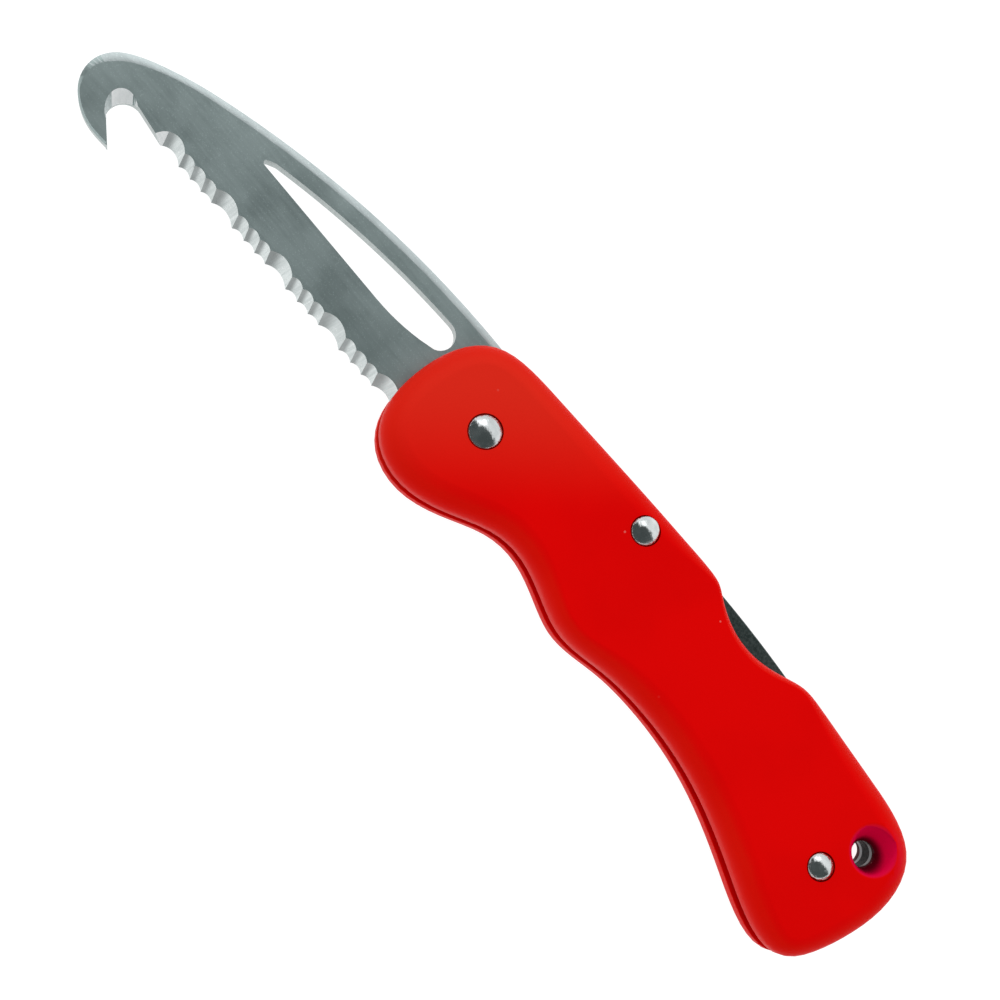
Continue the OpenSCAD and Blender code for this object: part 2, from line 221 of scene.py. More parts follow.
tent = blend_colour(sky, towards(SPINEWARD, -0.55, 0.62), BELLY_SIDE, SPINE_SIDE)
mirrored = blend_colour(sky, towards(UNDER_CARD, -0.22, -0.02), WHITE_CARD, BLACK_CARD)
# The card ends above the horizon, so that the scallops look past it at white.
mirrored = blend_colour(sky, towards(OVERHEAD, 0.04, 0.16), WHITE_CARD, mirrored)
ray = sky.nodes.new("ShaderNodeLightPath")
walls = blend_colour(sky, ray.outputs["Is Glossy Ray"], tent, mirrored)
connect(sky, walls, sky.nodes["Background"].inputs["Color"])
print("tent lit, brighter towards the spine")

# %% [markdown]
# One soft lamp stands on the spine's side, near the blade's point. It lifts the front of the handle
# and leaves the long, soft gleam along the spine.

# %% The softbox
LAMP_PLACE, LAMP_AIM = Vector((-0.52, 0.33, 0.50)), Vector((-0.01, 0, 0.01))
LAMP_WIDTH, LAMP_HEIGHT, LAMP_WATTS = 0.60, 0.45, 0.8
softbox = bpy.data.lights.new("key_softbox", "AREA")
softbox.shape = "RECTANGLE"
softbox.size, softbox.size_y, softbox.energy = LAMP_WIDTH, LAMP_HEIGHT, LAMP_WATTS
lamp = bpy.data.objects.new("key_softbox", softbox)
bpy.context.scene.collection.objects.link(lamp)
lamp_turn = (LAMP_AIM - LAMP_PLACE).to_track_quat("-Z", "Y").to_matrix().to_4x4()
lamp.matrix_world = Matrix.Translation(LAMP_PLACE) @ lamp_turn
print("softbox", round((LAMP_AIM - LAMP_PLACE).length, 2), "m from the knife")

# %% [markdown]
# Effects that several finishes share are node groups. Each is built once and then placed in a material
# with its own values. They give out only masks, and the shader itself stays in the material.

# %% Helpers for node groups
def new_group(name, inputs, outputs):
    """An empty shader group with named sockets: (name, kind, default) in, (name, kind) out."""
    group = bpy.data.node_groups.new(name, "ShaderNodeTree")
    for label, kind, default in inputs:
        socket = group.interface.new_socket(label, in_out="INPUT", socket_type="NodeSocket" + kind)
        if default is not None:
            socket.default_value = default
    for label, kind in outputs:
        group.interface.new_socket(label, in_out="OUTPUT", socket_type="NodeSocket" + kind)
    return group, group.nodes.new("NodeGroupInput"), group.nodes.new("NodeGroupOutput")


def noise(tree, vector, scale, detail=3, roughness=0.5):
    """A noise texture. The scale is a number or the socket that gives it."""
    node = tree.nodes.new("ShaderNodeTexNoise")
    node.inputs["Detail"].default_value = detail
    node.inputs["Roughness"].default_value = roughness
    if isinstance(scale, (int, float)):
        node.inputs["Scale"].default_value = scale
    else:
        connect(tree, scale, node.inputs["Scale"])
    connect(tree, vector, node.inputs["Vector"])
    return node.outputs["Fac"]


def arithmetic(tree, operation, a, b):
    """One Math node. Each side is a number or a socket."""
    node = tree.nodes.new("ShaderNodeMath")
    node.operation = operation
    for k, value in enumerate((a, b)):
        if isinstance(value, (int, float)):
            node.inputs[k].default_value = value
        else:
            connect(tree, value, node.inputs[k])
    return node.outputs[0]


def height_of(tree, vector):
    """How far a vector leans out of the level: the size of its Z."""
    node = tree.nodes.new("ShaderNodeSeparateXYZ")
    connect(tree, vector, node.inputs["Vector"])
    return arithmetic(tree, "ABSOLUTE", node.outputs["Z"], 0)


# %% [markdown]
# Mottle is the slow, cloudy change of tone that any real surface has. A noise gives the clouds, and
# stretching its middle gives them body. At a large scale the same group is the moulded grain.

# %% Node group: mottle
mottle_group, g_in, g_out = new_group(
    "mottle", [("Position", "Vector", None), ("Scale", "Float", 60.0)], [("Mask", "Float")])
clouds = noise(mottle_group, g_in.outputs["Position"], g_in.outputs["Scale"], 4, 0.55)
connect(mottle_group, remap(mottle_group, clouds, 0.32, 0.68), g_out.inputs["Mask"])
print("group", mottle_group.name, "with", len(mottle_group.nodes), "nodes")

# %% [markdown]
# Speckle is a field of fine dots, each with its own strength. On blasted steel it is the pitting.
# Only a share of the cells holds a dot, so the same group also makes the few specks of dust that sit
# on a handle.

# %% Node group: speckle
speckle_group, g_in, g_out = new_group(
    "speckle",
    [("Position", "Vector", None), ("Scale", "Float", 2500.0), ("Size", "Float", 0.35),
     ("Share", "Float", 0.5)],
    [("Mask", "Float")])
dots = speckle_group.nodes.new("ShaderNodeTexVoronoi")
connect(speckle_group, g_in.outputs["Position"], dots.inputs["Vector"])
connect(speckle_group, g_in.outputs["Scale"], dots.inputs["Scale"])
inside_dot = arithmetic(speckle_group, "LESS_THAN", dots.outputs["Distance"], g_in.outputs["Size"])
cell_number = speckle_group.nodes.new("ShaderNodeSeparateColor")
connect(speckle_group, dots.outputs["Color"], cell_number.inputs["Color"])
chosen = arithmetic(speckle_group, "LESS_THAN", cell_number.outputs["Red"], g_in.outputs["Share"])
strength = arithmetic(speckle_group, "MULTIPLY", chosen, cell_number.outputs["Green"])
connect(speckle_group, arithmetic(speckle_group, "MULTIPLY", inside_dot, strength),
        g_out.inputs["Mask"])
print("group", speckle_group.name, "with", len(speckle_group.nodes), "nodes")

# %% [markdown]
# Grinding lines are noise squeezed along one direction. The position is turned by the Turn input,
# then stretched, so that the lines of the blade's scallops and of the polished domes come from one
# group.

# %% Node group: grinding lines
lines_group, g_in, g_out = new_group(
    "grinding_lines",
    [("Position", "Vector", None), ("Turn", "Vector", (0, 0, 0)),
     ("Stretch", "Vector", (1, 1, 1)), ("Scale", "Float", 900.0)],
    [("Mask", "Float")])
squeeze = lines_group.nodes.new("ShaderNodeMapping")
connect(lines_group, g_in.outputs["Position"], squeeze.inputs["Vector"])
connect(lines_group, g_in.outputs["Turn"], squeeze.inputs["Rotation"])
squeezed = lines_group.nodes.new("ShaderNodeVectorMath")
squeezed.operation = "MULTIPLY"
connect(lines_group, squeeze.outputs["Vector"], squeezed.inputs[0])
connect(lines_group, g_in.outputs["Stretch"], squeezed.inputs[1])
streaks = noise(lines_group, squeezed.outputs["Vector"], g_in.outputs["Scale"], 3, 0.6)
connect(lines_group, remap(lines_group, streaks, 0.30, 0.70), g_out.inputs["Mask"])
print("group", lines_group.name, "with", len(lines_group.nodes), "nodes")

# %% [markdown]
# Rim wear and a painted sheen both need to know where the surface turns away from the flat. The normal in
# the object's own space says it: its Z is 1 on a flat face and falls to 0 on the wall, so the rounded edge
# between them is where a palm rubs the grain smooth, and where the rim is painted a little pinker as a
# painted sheen.

# %% Node group: rim wear and painted sheen
rim_wear_sheen_group, g_in, g_out = new_group(
    "rim_wear_and_sheen", [("Normal", "Vector", None), ("Ripple", "Float", 0.5)], [("Mask", "Float")])
turning = remap(rim_wear_sheen_group, height_of(rim_wear_sheen_group, g_in.outputs["Normal"]), 0.985, 0.80)
uneven_rub_and_sheen = remap(rim_wear_sheen_group, g_in.outputs["Ripple"], 0, 1, 0.6, 1.0, smooth=False)
connect(rim_wear_sheen_group, arithmetic(rim_wear_sheen_group, "MULTIPLY", turning, uneven_rub_and_sheen), g_out.inputs["Mask"])
print("group", rim_wear_sheen_group.name, "with", len(rim_wear_sheen_group.nodes), "nodes")

# %% [markdown]
# One flank of each scallop is painted darker, as painted shade, standing in for the shade and reflection
# that its lean would give. That flank leans towards +X, so the X of the normal finds it.

# %% Node group: painted shade on one flank
flank_shade_group, g_in, g_out = new_group(
    "painted_flank_shade", [("Normal", "Vector", None), ("Ripple", "Float", 0.5)], [("Mask", "Float")])
flank_normal = flank_shade_group.nodes.new("ShaderNodeSeparateXYZ")
connect(flank_shade_group, g_in.outputs["Normal"], flank_normal.inputs["Vector"])
towards_butt = remap(flank_shade_group, flank_normal.outputs["X"], 0.02, 0.42)
uneven_shade = remap(flank_shade_group, g_in.outputs["Ripple"], 0, 1, 0.7, 1.0, smooth=False)
connect(flank_shade_group, arithmetic(flank_shade_group, "MULTIPLY", towards_butt, uneven_shade),
        g_out.inputs["Mask"])
print("group", flank_shade_group.name, "with", len(flank_shade_group.nodes), "nodes")

# %% [markdown]
# Deep inside a coloured funnel, light has bounced from wall to wall and the colour grows richer, and in the
# throat it lies in shade. Both are painted into the colour here, as painted bounce light and painted shade.
# The mask for it is 1 near an upright axis, where the surface also leans.

# %% Node group: painted light in the funnel
funnel_light_group, g_in, g_out = new_group(
    "funnel_painted_light",
    [("Position", "Vector", None), ("Normal", "Vector", None), ("Axis", "Vector", (0, 0, 0)),
     ("Reach", "Float", 0.006)],
    [("Mask", "Float")])
offset = funnel_light_group.nodes.new("ShaderNodeVectorMath")
offset.operation = "SUBTRACT"
connect(funnel_light_group, g_in.outputs["Position"], offset.inputs[0])
connect(funnel_light_group, g_in.outputs["Axis"], offset.inputs[1])
flat_offset = funnel_light_group.nodes.new("ShaderNodeVectorMath")
flat_offset.operation = "MULTIPLY"
flat_offset.inputs[1].default_value = (1, 1, 0)
connect(funnel_light_group, offset.outputs["Vector"], flat_offset.inputs[0])
spread = funnel_light_group.nodes.new("ShaderNodeVectorMath")
spread.operation = "LENGTH"
connect(funnel_light_group, flat_offset.outputs["Vector"], spread.inputs[0])
nearness = arithmetic(funnel_light_group, "DIVIDE", spread.outputs["Value"], g_in.outputs["Reach"])
near = remap(funnel_light_group, nearness, 1.0, 0.7)
leaning = remap(funnel_light_group, height_of(funnel_light_group, g_in.outputs["Normal"]), 0.99, 0.72)
connect(funnel_light_group, arithmetic(funnel_light_group, "MULTIPLY", near, leaning), g_out.inputs["Mask"])
print("node groups:", [g.name for g in bpy.data.node_groups])

# %% [markdown]
# A finish starts from the Principled BSDF. What is the same all over is set on the shader itself, and
# what changes over the surface comes from the groups: a tone, a roughness and a bump.

# %% Helpers for materials
def new_material(name, metallic, roughness, specular=0.5):
    """A material with its shader's constant values set on the shader itself."""
    material = bpy.data.materials.new(name)
    material.use_nodes = True
    shader = material.node_tree.nodes["Principled BSDF"]
    shader.inputs["Metallic"].default_value = metallic
    shader.inputs["Roughness"].default_value = roughness
    shader.inputs["Specular IOR Level"].default_value = specular
    place = material.node_tree.nodes.new("ShaderNodeTexCoord")
    return material, material.node_tree, shader, place


def use(tree, group, **inputs):
    """Places a node group and gives it its inputs: sockets are linked, the rest are set."""
    node = tree.nodes.new("ShaderNodeGroup")
    node.node_tree = group
    for label, value in inputs.items():
        if isinstance(value, bpy.types.NodeSocket):
            connect(tree, value, node.inputs[label])
        else:
            node.inputs[label].default_value = value
    return node.outputs[0]


def tint(tree, tone, mask, share, colour):
    """Lays a share of one more colour over a tone, where the mask says."""
    return blend_colour(tree, arithmetic(tree, "MULTIPLY", mask, share), tone, colour)


def add_bump(tree, shader, height, distance, strength=1.0):
    """Feeds a height through a Bump node into the shader's normal."""
    bump = tree.nodes.new("ShaderNodeBump")
    bump.inputs["Distance"].default_value = distance
    bump.inputs["Strength"].default_value = strength
    connect(tree, height, bump.inputs["Height"])
    connect(tree, bump.outputs["Normal"], shader.inputs["Normal"])


# %% [markdown]
# The handle is nylon, coloured right through and moulded in a fine-grained tool. It is made from a deep red
# with slow clouds, painted paler towards the front and the spine's side as a painted sheen, a little duller
# and pinker along the rounded edges, partly as rubbing and partly as a painted sheen, with a few specks of
# dust. The funnel of the lanyard hole is painted crimson as painted bounce light, and dark in its throat as
# painted shade. A bump of fine grain takes the mirror out of the sheen.

# %% Material: red nylon
GRAIN_SCALE, GRAIN_DEPTH = 2600.0, 0.02 * MM
DEEP_RED, CLOUDED_RED = (0.73, 0.0002, 0.0001), (0.78, 0.0004, 0.0002)
# The paler red is a painted sheen, the edge red is rubbing with a painted sheen, the funnel red is painted
# bounce light and the throat red is painted shade.
SHEEN_RED, RUBBED_AND_SHEEN_RED = (0.75, 0.022, 0.010), (0.70, 0.010, 0.003)
FUNNEL_BOUNCE_RED, THROAT_SHADE_RED, DUST_TONE = (0.74, 0.0, 0.060), (0.05, 0.0, 0.004), (0.80, 0.30, 0.26)
FUNNEL_REACH, THROAT_REACH = 6.5 * MM, 3.4 * MM
# Where the painted sheen begins and where it is full, measured towards the front and leaning towards the
# spine's side.
SHEEN_FROM, SHEEN_TO, SHEEN_LEAN = -9 * MM, 22 * MM, 0.9
lanyard_mount = next(m for m in frame["record"]["mounts"] if m["name"] == "lanyard_hole")
LANYARD = Vector(lanyard_mount["pos_m"])

red_nylon, tree, shader, place = new_material("red_nylon", 0, 0.42, specular=0.02)
position, normal = place.outputs["Object"], place.outputs["Normal"]
cloud = use(tree, mottle_group, Position=position, Scale=45.0)
grain = use(tree, mottle_group, Position=position, Scale=GRAIN_SCALE)
# Along the rounded edges: rubbing, and a painted sheen.
worn_and_sheen = use(tree, rim_wear_sheen_group, Normal=normal, Ripple=cloud)
dust = use(tree, speckle_group, Position=position, Scale=420.0, Size=0.09, Share=0.05)
# Painted bounce light on the funnel's wall, and painted shade in its throat.
funnel = use(tree, funnel_light_group, Position=position, Normal=normal, Axis=LANYARD, Reach=FUNNEL_REACH)
throat = use(tree, funnel_light_group, Position=position, Normal=normal, Axis=LANYARD, Reach=THROAT_REACH)

along = tree.nodes.new("ShaderNodeSeparateXYZ")
connect(tree, position, along.inputs["Vector"])
across = arithmetic(tree, "MULTIPLY", along.outputs["Y"], SHEEN_LEAN)
frontness = arithmetic(tree, "SUBTRACT", across, along.outputs["X"])
tone = blend_colour(tree, cloud, DEEP_RED, CLOUDED_RED)
# Painted sheen: paler towards the front and towards the spine's side.
tone = blend_colour(tree, remap(tree, frontness, SHEEN_FROM, SHEEN_TO), tone, SHEEN_RED)
for mask, share, colour in ((worn_and_sheen, 0.55, RUBBED_AND_SHEEN_RED), (funnel, 0.8, FUNNEL_BOUNCE_RED),
                            (throat, 0.9, THROAT_SHADE_RED), (dust, 0.5, DUST_TONE)):
    tone = tint(tree, tone, mask, share, colour)
connect(tree, tone, shader.inputs["Base Color"])

gloss = remap(tree, grain, 0, 1, 0.40, 0.50, smooth=False)
gloss = arithmetic(tree, "SUBTRACT", gloss, arithmetic(tree, "MULTIPLY", worn_and_sheen, 0.07))
connect(tree, gloss, shader.inputs["Roughness"])
add_bump(tree, shader, grain, GRAIN_DEPTH, 0.35)
print(red_nylon.name, "with", len(tree.nodes), "nodes")

# %% [markdown]
# The blade's faces are blasted and then lightly brushed: a green-grey satin, full of tiny pits and
# brighter peaks. Long faint lines run with the blade.

# %% Material: satin blade steel
PIT_SIZE, PIT_SHINE = 0.42, 1.35
# How dark the painted shade on one flank of each scallop is, as a share of the dark tone.
FLANK_SHADE_TONE = 0.42
STEEL_RELIEF = 0.004 * MM
UNTURNED, ALONG_BLADE, DOWN_WALL = (0, 0, 0), (0.06, 1, 1), (1, 1, 0.08)


def steel(name, dark, light, roughness, lines_turn, lines_stretch, pits, lines_share=0.65,
          painted_flank_shade=0.0, metallic=1.0):
    """Bare steel: two tones mixed by clouds, lines and pits, which also move its roughness."""
    material, tree, shader, place = new_material(name, metallic, roughness)
    position = place.outputs["Object"]
    cloud = use(tree, mottle_group, Position=position, Scale=110.0)
    lines = use(tree, lines_group, Position=position, Turn=lines_turn, Stretch=lines_stretch,
                Scale=1800.0)
    pit = use(tree, speckle_group, Position=position, Scale=3600.0, Size=PIT_SIZE, Share=pits)
    mix = arithmetic(tree, "ADD", arithmetic(tree, "MULTIPLY", cloud, 1 - lines_share),
                     arithmetic(tree, "MULTIPLY", lines, lines_share))
    tone = blend_colour(tree, mix, dark, light)
    tone = tint(tree, tone, pit, 0.45, [min(1, PIT_SHINE * c) for c in light])
    # Painted shade: the flank that leans towards +X is darkened.
    if painted_flank_shade:
        flank = use(tree, flank_shade_group, Normal=place.outputs["Normal"], Ripple=cloud)
        tone = tint(tree, tone, flank, painted_flank_shade, [FLANK_SHADE_TONE * c for c in dark])
    connect(tree, tone, shader.inputs["Base Color"])
    spread = remap(tree, mix, 0, 1, roughness - 0.05, roughness + 0.06, smooth=False)
    connect(tree, spread, shader.inputs["Roughness"])
    height = arithmetic(tree, "ADD", lines, arithmetic(tree, "MULTIPLY", pit, 0.6))
    add_bump(tree, shader, height, STEEL_RELIEF, 0.5)
    print(name, "with", len(tree.nodes), "nodes")
    return material


satin_steel = steel("satin_blade_steel", (0.330, 0.400, 0.395), (0.395, 0.470, 0.465), 0.38,
                    UNTURNED, ALONG_BLADE, pits=0.40, lines_share=0.30)

# %% [markdown]
# Where a wheel has cut the blade, in the scallops, the gullet and the bevels, the steel is brighter,
# and the wheel's lines run across the edge. Freshly cut steel also scatters white in every direction,
# which a mirror-like metal can't do, so its Metallic is less than 1.

# %% Materials: ground steel, honed gullet, bevels and sheared walls
ACROSS_EDGE = (0, 0, math.radians(18))
# The scallops get painted shade on the flank that leans towards +X.
ground_steel = steel("ground_scallop_steel", (0.50, 0.545, 0.54), (0.76, 0.81, 0.80), 0.22,
                     ACROSS_EDGE, (1, 0.05, 0.05), pits=0.12, painted_flank_shade=0.9, metallic=0.65)
gullet_steel = steel("honed_gullet_steel", (0.82, 0.855, 0.85), (0.92, 0.94, 0.935), 0.60,
                     UNTURNED, DOWN_WALL, pits=0.12, metallic=0.15)
bevel_steel = steel("bevel_steel", (0.42, 0.475, 0.475), (0.58, 0.64, 0.64), 0.42,
                    UNTURNED, (0.10, 1, 1), pits=0.30, metallic=0.7)
wall_steel = steel("sheared_wall_steel", (0.30, 0.34, 0.335), (0.46, 0.51, 0.50), 0.36,
                   UNTURNED, DOWN_WALL, pits=0.25)

# %% [markdown]
# The lock bar, the leaf spring and the liners are plain parts, and each kind of steel has its own
# colour: the bar is dark from hardening, the leaf is blued, and the liners keep their rolled skin.

# %% Materials: lock, liner and spring steel
lock_steel = steel("dark_lock_steel", (0.050, 0.068, 0.064), (0.115, 0.145, 0.138), 0.34,
                   UNTURNED, (1, 1, 0.06), pits=0.20)
liner_finish = steel("rolled_liner_steel", (0.11, 0.115, 0.12), (0.19, 0.20, 0.205), 0.34,
                     UNTURNED, (0.05, 1, 1), pits=0.2)
spring_steel = steel("blued_spring_steel", (0.13, 0.16, 0.20), (0.22, 0.26, 0.31), 0.30,
                     UNTURNED, (0.05, 1, 1), pits=0.1)

# %% [markdown]
# The rivets are polished stainless steel. Handling has left hair scratches that run every way, so two
# sets of lines cross, and they show mostly in the roughness.

# %% Material: polished rivet steel
SMUDGE_RELIEF = 0.06 * MM
polished, tree, shader, place = new_material("polished_rivet_steel", 1.0, 0.14)
position = place.outputs["Object"]
hairs = use(tree, lines_group, Position=position, Turn=(0, 0, 0.6), Stretch=(0.04, 1, 1),
            Scale=1500.0)
crossing = use(tree, lines_group, Position=position, Turn=(0, 0, 2.1), Stretch=(0.05, 1, 1),
               Scale=1300.0)
scratched = arithmetic(tree, "MULTIPLY", hairs, crossing)
smudge = use(tree, mottle_group, Position=position, Scale=420.0)
tone = blend_colour(tree, smudge, (0.52, 0.545, 0.54), (0.68, 0.70, 0.70))
connect(tree, tone, shader.inputs["Base Color"])
haze = arithmetic(tree, "ADD", remap(tree, smudge, 0, 1, 0.09, 0.17, smooth=False),
                  arithmetic(tree, "MULTIPLY", scratched, 0.10))
connect(tree, haze, shader.inputs["Roughness"])
add_bump(tree, shader, arithmetic(tree, "ADD", smudge, scratched), SMUDGE_RELIEF, 0.45)
print(polished.name, "with", len(tree.nodes), "nodes")

# %% [markdown]
# Inside the knife, the bushes and washers are turned bronze, and the back spacer is black nylon with
# the same grain as the scales.

# %% Materials: turned bronze and black nylon
TURNING_RELIEF = 0.006 * MM
bronze, tree, shader, place = new_material("turned_bronze", 1.0, 0.30)
position = place.outputs["Object"]
turned = use(tree, lines_group, Position=position, Stretch=(0.2, 0.2, 1), Scale=2200.0)
stain = use(tree, mottle_group, Position=position, Scale=300.0)
tone = blend_colour(tree, stain, (0.46, 0.27, 0.10), (0.68, 0.45, 0.20))
connect(tree, tone, shader.inputs["Base Color"])
connect(tree, remap(tree, turned, 0, 1, 0.22, 0.38, smooth=False), shader.inputs["Roughness"])
add_bump(tree, shader, turned, TURNING_RELIEF, 0.5)

black_nylon, tree, shader, place = new_material("black_nylon", 0, 0.5, specular=0.08)
position = place.outputs["Object"]
cloud = use(tree, mottle_group, Position=position, Scale=90.0)
grain = use(tree, mottle_group, Position=position, Scale=GRAIN_SCALE)
tone = blend_colour(tree, cloud, (0.006, 0.006, 0.007), (0.014, 0.013, 0.014))
connect(tree, tone, shader.inputs["Base Color"])
connect(tree, remap(tree, grain, 0, 1, 0.42, 0.58, smooth=False), shader.inputs["Roughness"])
add_bump(tree, shader, grain, GRAIN_DEPTH, 0.4)
print("materials:", len(bpy.data.materials))

# %% [markdown]
# A CAD mesh is loose triangles. To work on one by hand, it is copied, its doubles are merged, and the
# triangles of each flat face are dissolved into one large face. Then edges can be picked by their
# place and rounded, as they would be with a file.

# %% Helpers for picking and editing
TOUCHING = 0.01 * MM


def activate(piece):
    """Makes one piece the only selected and active object."""
    deselect()
    piece.select_set(True)
    bpy.context.view_layer.objects.active = piece


def edit(piece, mode="FACE"):
    """Edit mode on one piece, with nothing selected."""
    activate(piece)
    bpy.ops.object.mode_set(mode="EDIT")
    bpy.ops.mesh.select_mode(type=mode)
    bpy.ops.mesh.select_all(action="DESELECT")


def pick(piece, faces=None, edges=None):
    """Selects the faces or edges that pass a test, then goes to edit mode."""
    edit(piece, "FACE" if faces else "EDGE")
    bpy.ops.object.mode_set(mode="OBJECT")
    mesh, count = piece.data, 0
    if faces:
        for face in mesh.polygons:
            face.select = bool(faces(face))
            count += face.select
    else:
        turn = edge_turns(mesh)
        for edge in mesh.edges:
            a, b = (mesh.vertices[v].co for v in edge.vertices)
            edge.select = bool(edges(a, b, turn[edge.index]))
            count += edge.select
    bpy.ops.object.mode_set(mode="EDIT")
    return count


def edge_turns(mesh):
    """The angle in degrees between the two faces at each edge."""
    sides = {}
    for face in mesh.polygons:
        for key in face.edge_keys:
            sides.setdefault(key, []).append(face.normal)
    turns = []
    for edge in mesh.edges:
        pair = sides.get(tuple(sorted(edge.vertices)), [])
        turns.append(math.degrees(pair[0].angle(pair[1], 0)) if len(pair) == 2 else 0)
    return turns


# %% [markdown]
# Modifiers are added, set and applied one at a time, as they would be from the panel. The same bevel
# rounds every piece's corners, from a broken edge of a twentieth of a millimetre to a rubbed one, so
# it has a function of its own.

# %% Helpers for modifiers and shading
def modify(piece, kind, name, **settings):
    """Adds a modifier, sets it up and applies it."""
    activate(piece)
    modifier = piece.modifiers.new(name, kind)
    for key, value in settings.items():
        setattr(modifier, key, value)
    bpy.ops.object.modifier_apply(modifier=modifier.name)


def round_corners(piece, name, width, segments, sharper_than=50):
    """Bevels every edge that turns by more than a number of degrees."""
    modify(piece, "BEVEL", name, width=width, segments=segments, limit_method="ANGLE",
           angle_limit=math.radians(sharper_than), use_clamp_overlap=True)


def smooth(piece, degrees=35):
    """Smooth shading that leaves corners sharp, with normals that follow the large faces."""
    activate(piece)
    bpy.ops.object.shade_smooth_by_angle(angle=math.radians(degrees))
    modify(piece, "WEIGHTED_NORMAL", "even_normals", keep_sharp=True, weight=80)


# %% [markdown]
# Four more helpers start and finish a piece. One makes the merged copy, one welds the slivers that
# cutting and bevelling leave, one counts open edges, and the last hangs the piece on its body.

# %% Helpers for starting and finishing a piece
MERGE, WELD = 0.002 * MM, 0.001 * MM


def solid_copy(node, name, material):
    """A merged copy of a CAD node as a new piece at the same place."""
    piece = bpy.data.objects.new(name, nodes[node].data.copy())
    bpy.context.scene.collection.objects.link(piece)
    piece.data.materials.clear()
    piece.data.materials.append(material)
    edit(piece, "VERT")
    bpy.ops.mesh.select_all(action="SELECT")
    bpy.ops.mesh.customdata_custom_splitnormals_clear()
    bpy.ops.mesh.remove_doubles(threshold=MERGE)
    bpy.ops.mesh.dissolve_limited(angle_limit=math.radians(0.4))
    bpy.ops.object.mode_set(mode="OBJECT")
    return piece


def weld(piece):
    """Merges points closer than a thousandth of a millimetre and drops the slivers between them."""
    edit(piece, "VERT")
    bpy.ops.mesh.select_all(action="SELECT")
    bpy.ops.mesh.remove_doubles(threshold=WELD)
    bpy.ops.mesh.dissolve_degenerate(threshold=WELD)
    bpy.ops.object.mode_set(mode="OBJECT")


def open_edges(piece):
    """How many edges don't lie between exactly two faces."""
    edit(piece, "EDGE")
    bpy.ops.mesh.select_non_manifold()
    bpy.ops.object.mode_set(mode="OBJECT")
    return sum(edge.select for edge in piece.data.edges)


def finish_piece(piece, body, slot, *stands_for):
    """Puts a piece on its body and hides the CAD nodes it stands for. The slot is not used."""
    deselect()
    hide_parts(*stands_for)
    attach(piece, body)
    piece.data.calc_loop_triangles()
    print(piece.name, "stands for", stands_for, "with", len(piece.data.loop_triangles), "triangles")


# %% [markdown]
# The mouth of the lanyard hole flares like a trumpet until it runs out level with the scale's face,
# and it leans towards the spine. It could be a spun profile, but a spin can't lean. So a trumpet is
# drawn ring by ring, each a little wider, and then cut out of the scale with a Boolean.

# %% The lanyard's trumpet
FUNNEL_DEPTH, FUNNEL_LEAN = 3.6 * MM, Vector((-0.3, 0.9)) * MM
THROAT_RADIUS, MOUTH_RADIUS, FLARE = 2.2 * MM, 3.9 * MM, 0.8 * MM
FLARE_FROM = 0.68
# Height up the funnel, as a share of its depth, at each ring of the trumpet
FLARE_RINGS = 8
FUNNEL_RINGS = [-0.25, 0, 0.34, FLARE_FROM] + [
    FLARE_FROM + (1 - FLARE_FROM) * math.sin(k * math.pi / (2 * FLARE_RINGS))
    for k in range(1, FLARE_RINGS + 1)]
PAST_THE_FACE = 1.15


def trumpet_radius(share):
    """The cone's radius, and near the mouth a quarter round that runs out level with the face."""
    cone = THROAT_RADIUS + (MOUTH_RADIUS - THROAT_RADIUS) * share
    t = max(0, min(1, (share - FLARE_FROM) / (1 - FLARE_FROM)))
    return cone + FLARE * (1 - math.sqrt(1 - t * t))


def cut_funnel(scale, face_z, way):
    """Cuts the lanyard's trumpet into a scale whose face looks along way."""
    deselect()
    start = FUNNEL_RINGS[0]
    throat_z = face_z - way * FUNNEL_DEPTH
    centre = Vector((LANYARD.x, LANYARD.y, throat_z))
    lean = Vector((FUNNEL_LEAN.x, FUNNEL_LEAN.y, way * FUNNEL_DEPTH))
    bpy.ops.mesh.primitive_circle_add(vertices=96, radius=trumpet_radius(start), fill_type="NGON",
                                      location=centre + lean * start)
    trumpet = bpy.context.object
    bpy.ops.object.transform_apply(location=True, rotation=False, scale=False)
    bpy.ops.object.mode_set(mode="EDIT")
    bpy.ops.mesh.select_all(action="SELECT")
    for low, high in zip(FUNNEL_RINGS, FUNNEL_RINGS[1:] + [PAST_THE_FACE]):
        bpy.ops.mesh.extrude_region_move(TRANSFORM_OT_translate={"value": lean * (high - low)})
        growth = trumpet_radius(high) / trumpet_radius(low)
        bpy.ops.transform.resize(value=(growth, growth, 1), center_override=centre + lean * high)
    bpy.ops.mesh.select_all(action="SELECT")
    bpy.ops.mesh.normals_make_consistent(inside=False)
    bpy.ops.object.mode_set(mode="OBJECT")
    edit(scale)
    bpy.ops.mesh.select_all(action="SELECT")
    bpy.ops.mesh.quads_convert_to_tris()
    bpy.ops.object.mode_set(mode="OBJECT")
    modify(scale, "BOOLEAN", "funnel", operation="DIFFERENCE", object=trumpet, solver="EXACT")
    bpy.data.objects.remove(trumpet)
    weld(scale)
    print(scale.name, "has", open_edges(scale), "open edges after the funnel is cut")


# %% [markdown]
# The scales are injection moulded, and the mould leaves no sharp edge that a hand can reach. The CAD
# has their large rounding already. The edge at the slot is picked by its height and bevelled to a
# small round, and the trumpet is cut after it.

# %% The two scales
SLOT_ROUND = 0.22 * MM
SHARP_TURN = 60


def round_slot_edge(scale, slot_z):
    """Bevels the sharp edges at one height and says how many there were."""
    found = pick(scale, edges=lambda a, b, turn: turn > SHARP_TURN
                 and abs(a.z - slot_z) < TOUCHING and abs(b.z - slot_z) < TOUCHING)
    bpy.ops.mesh.bevel(offset=SLOT_ROUND, segments=2, profile=0.5, clamp_overlap=True)
    bpy.ops.object.mode_set(mode="OBJECT")
    return found


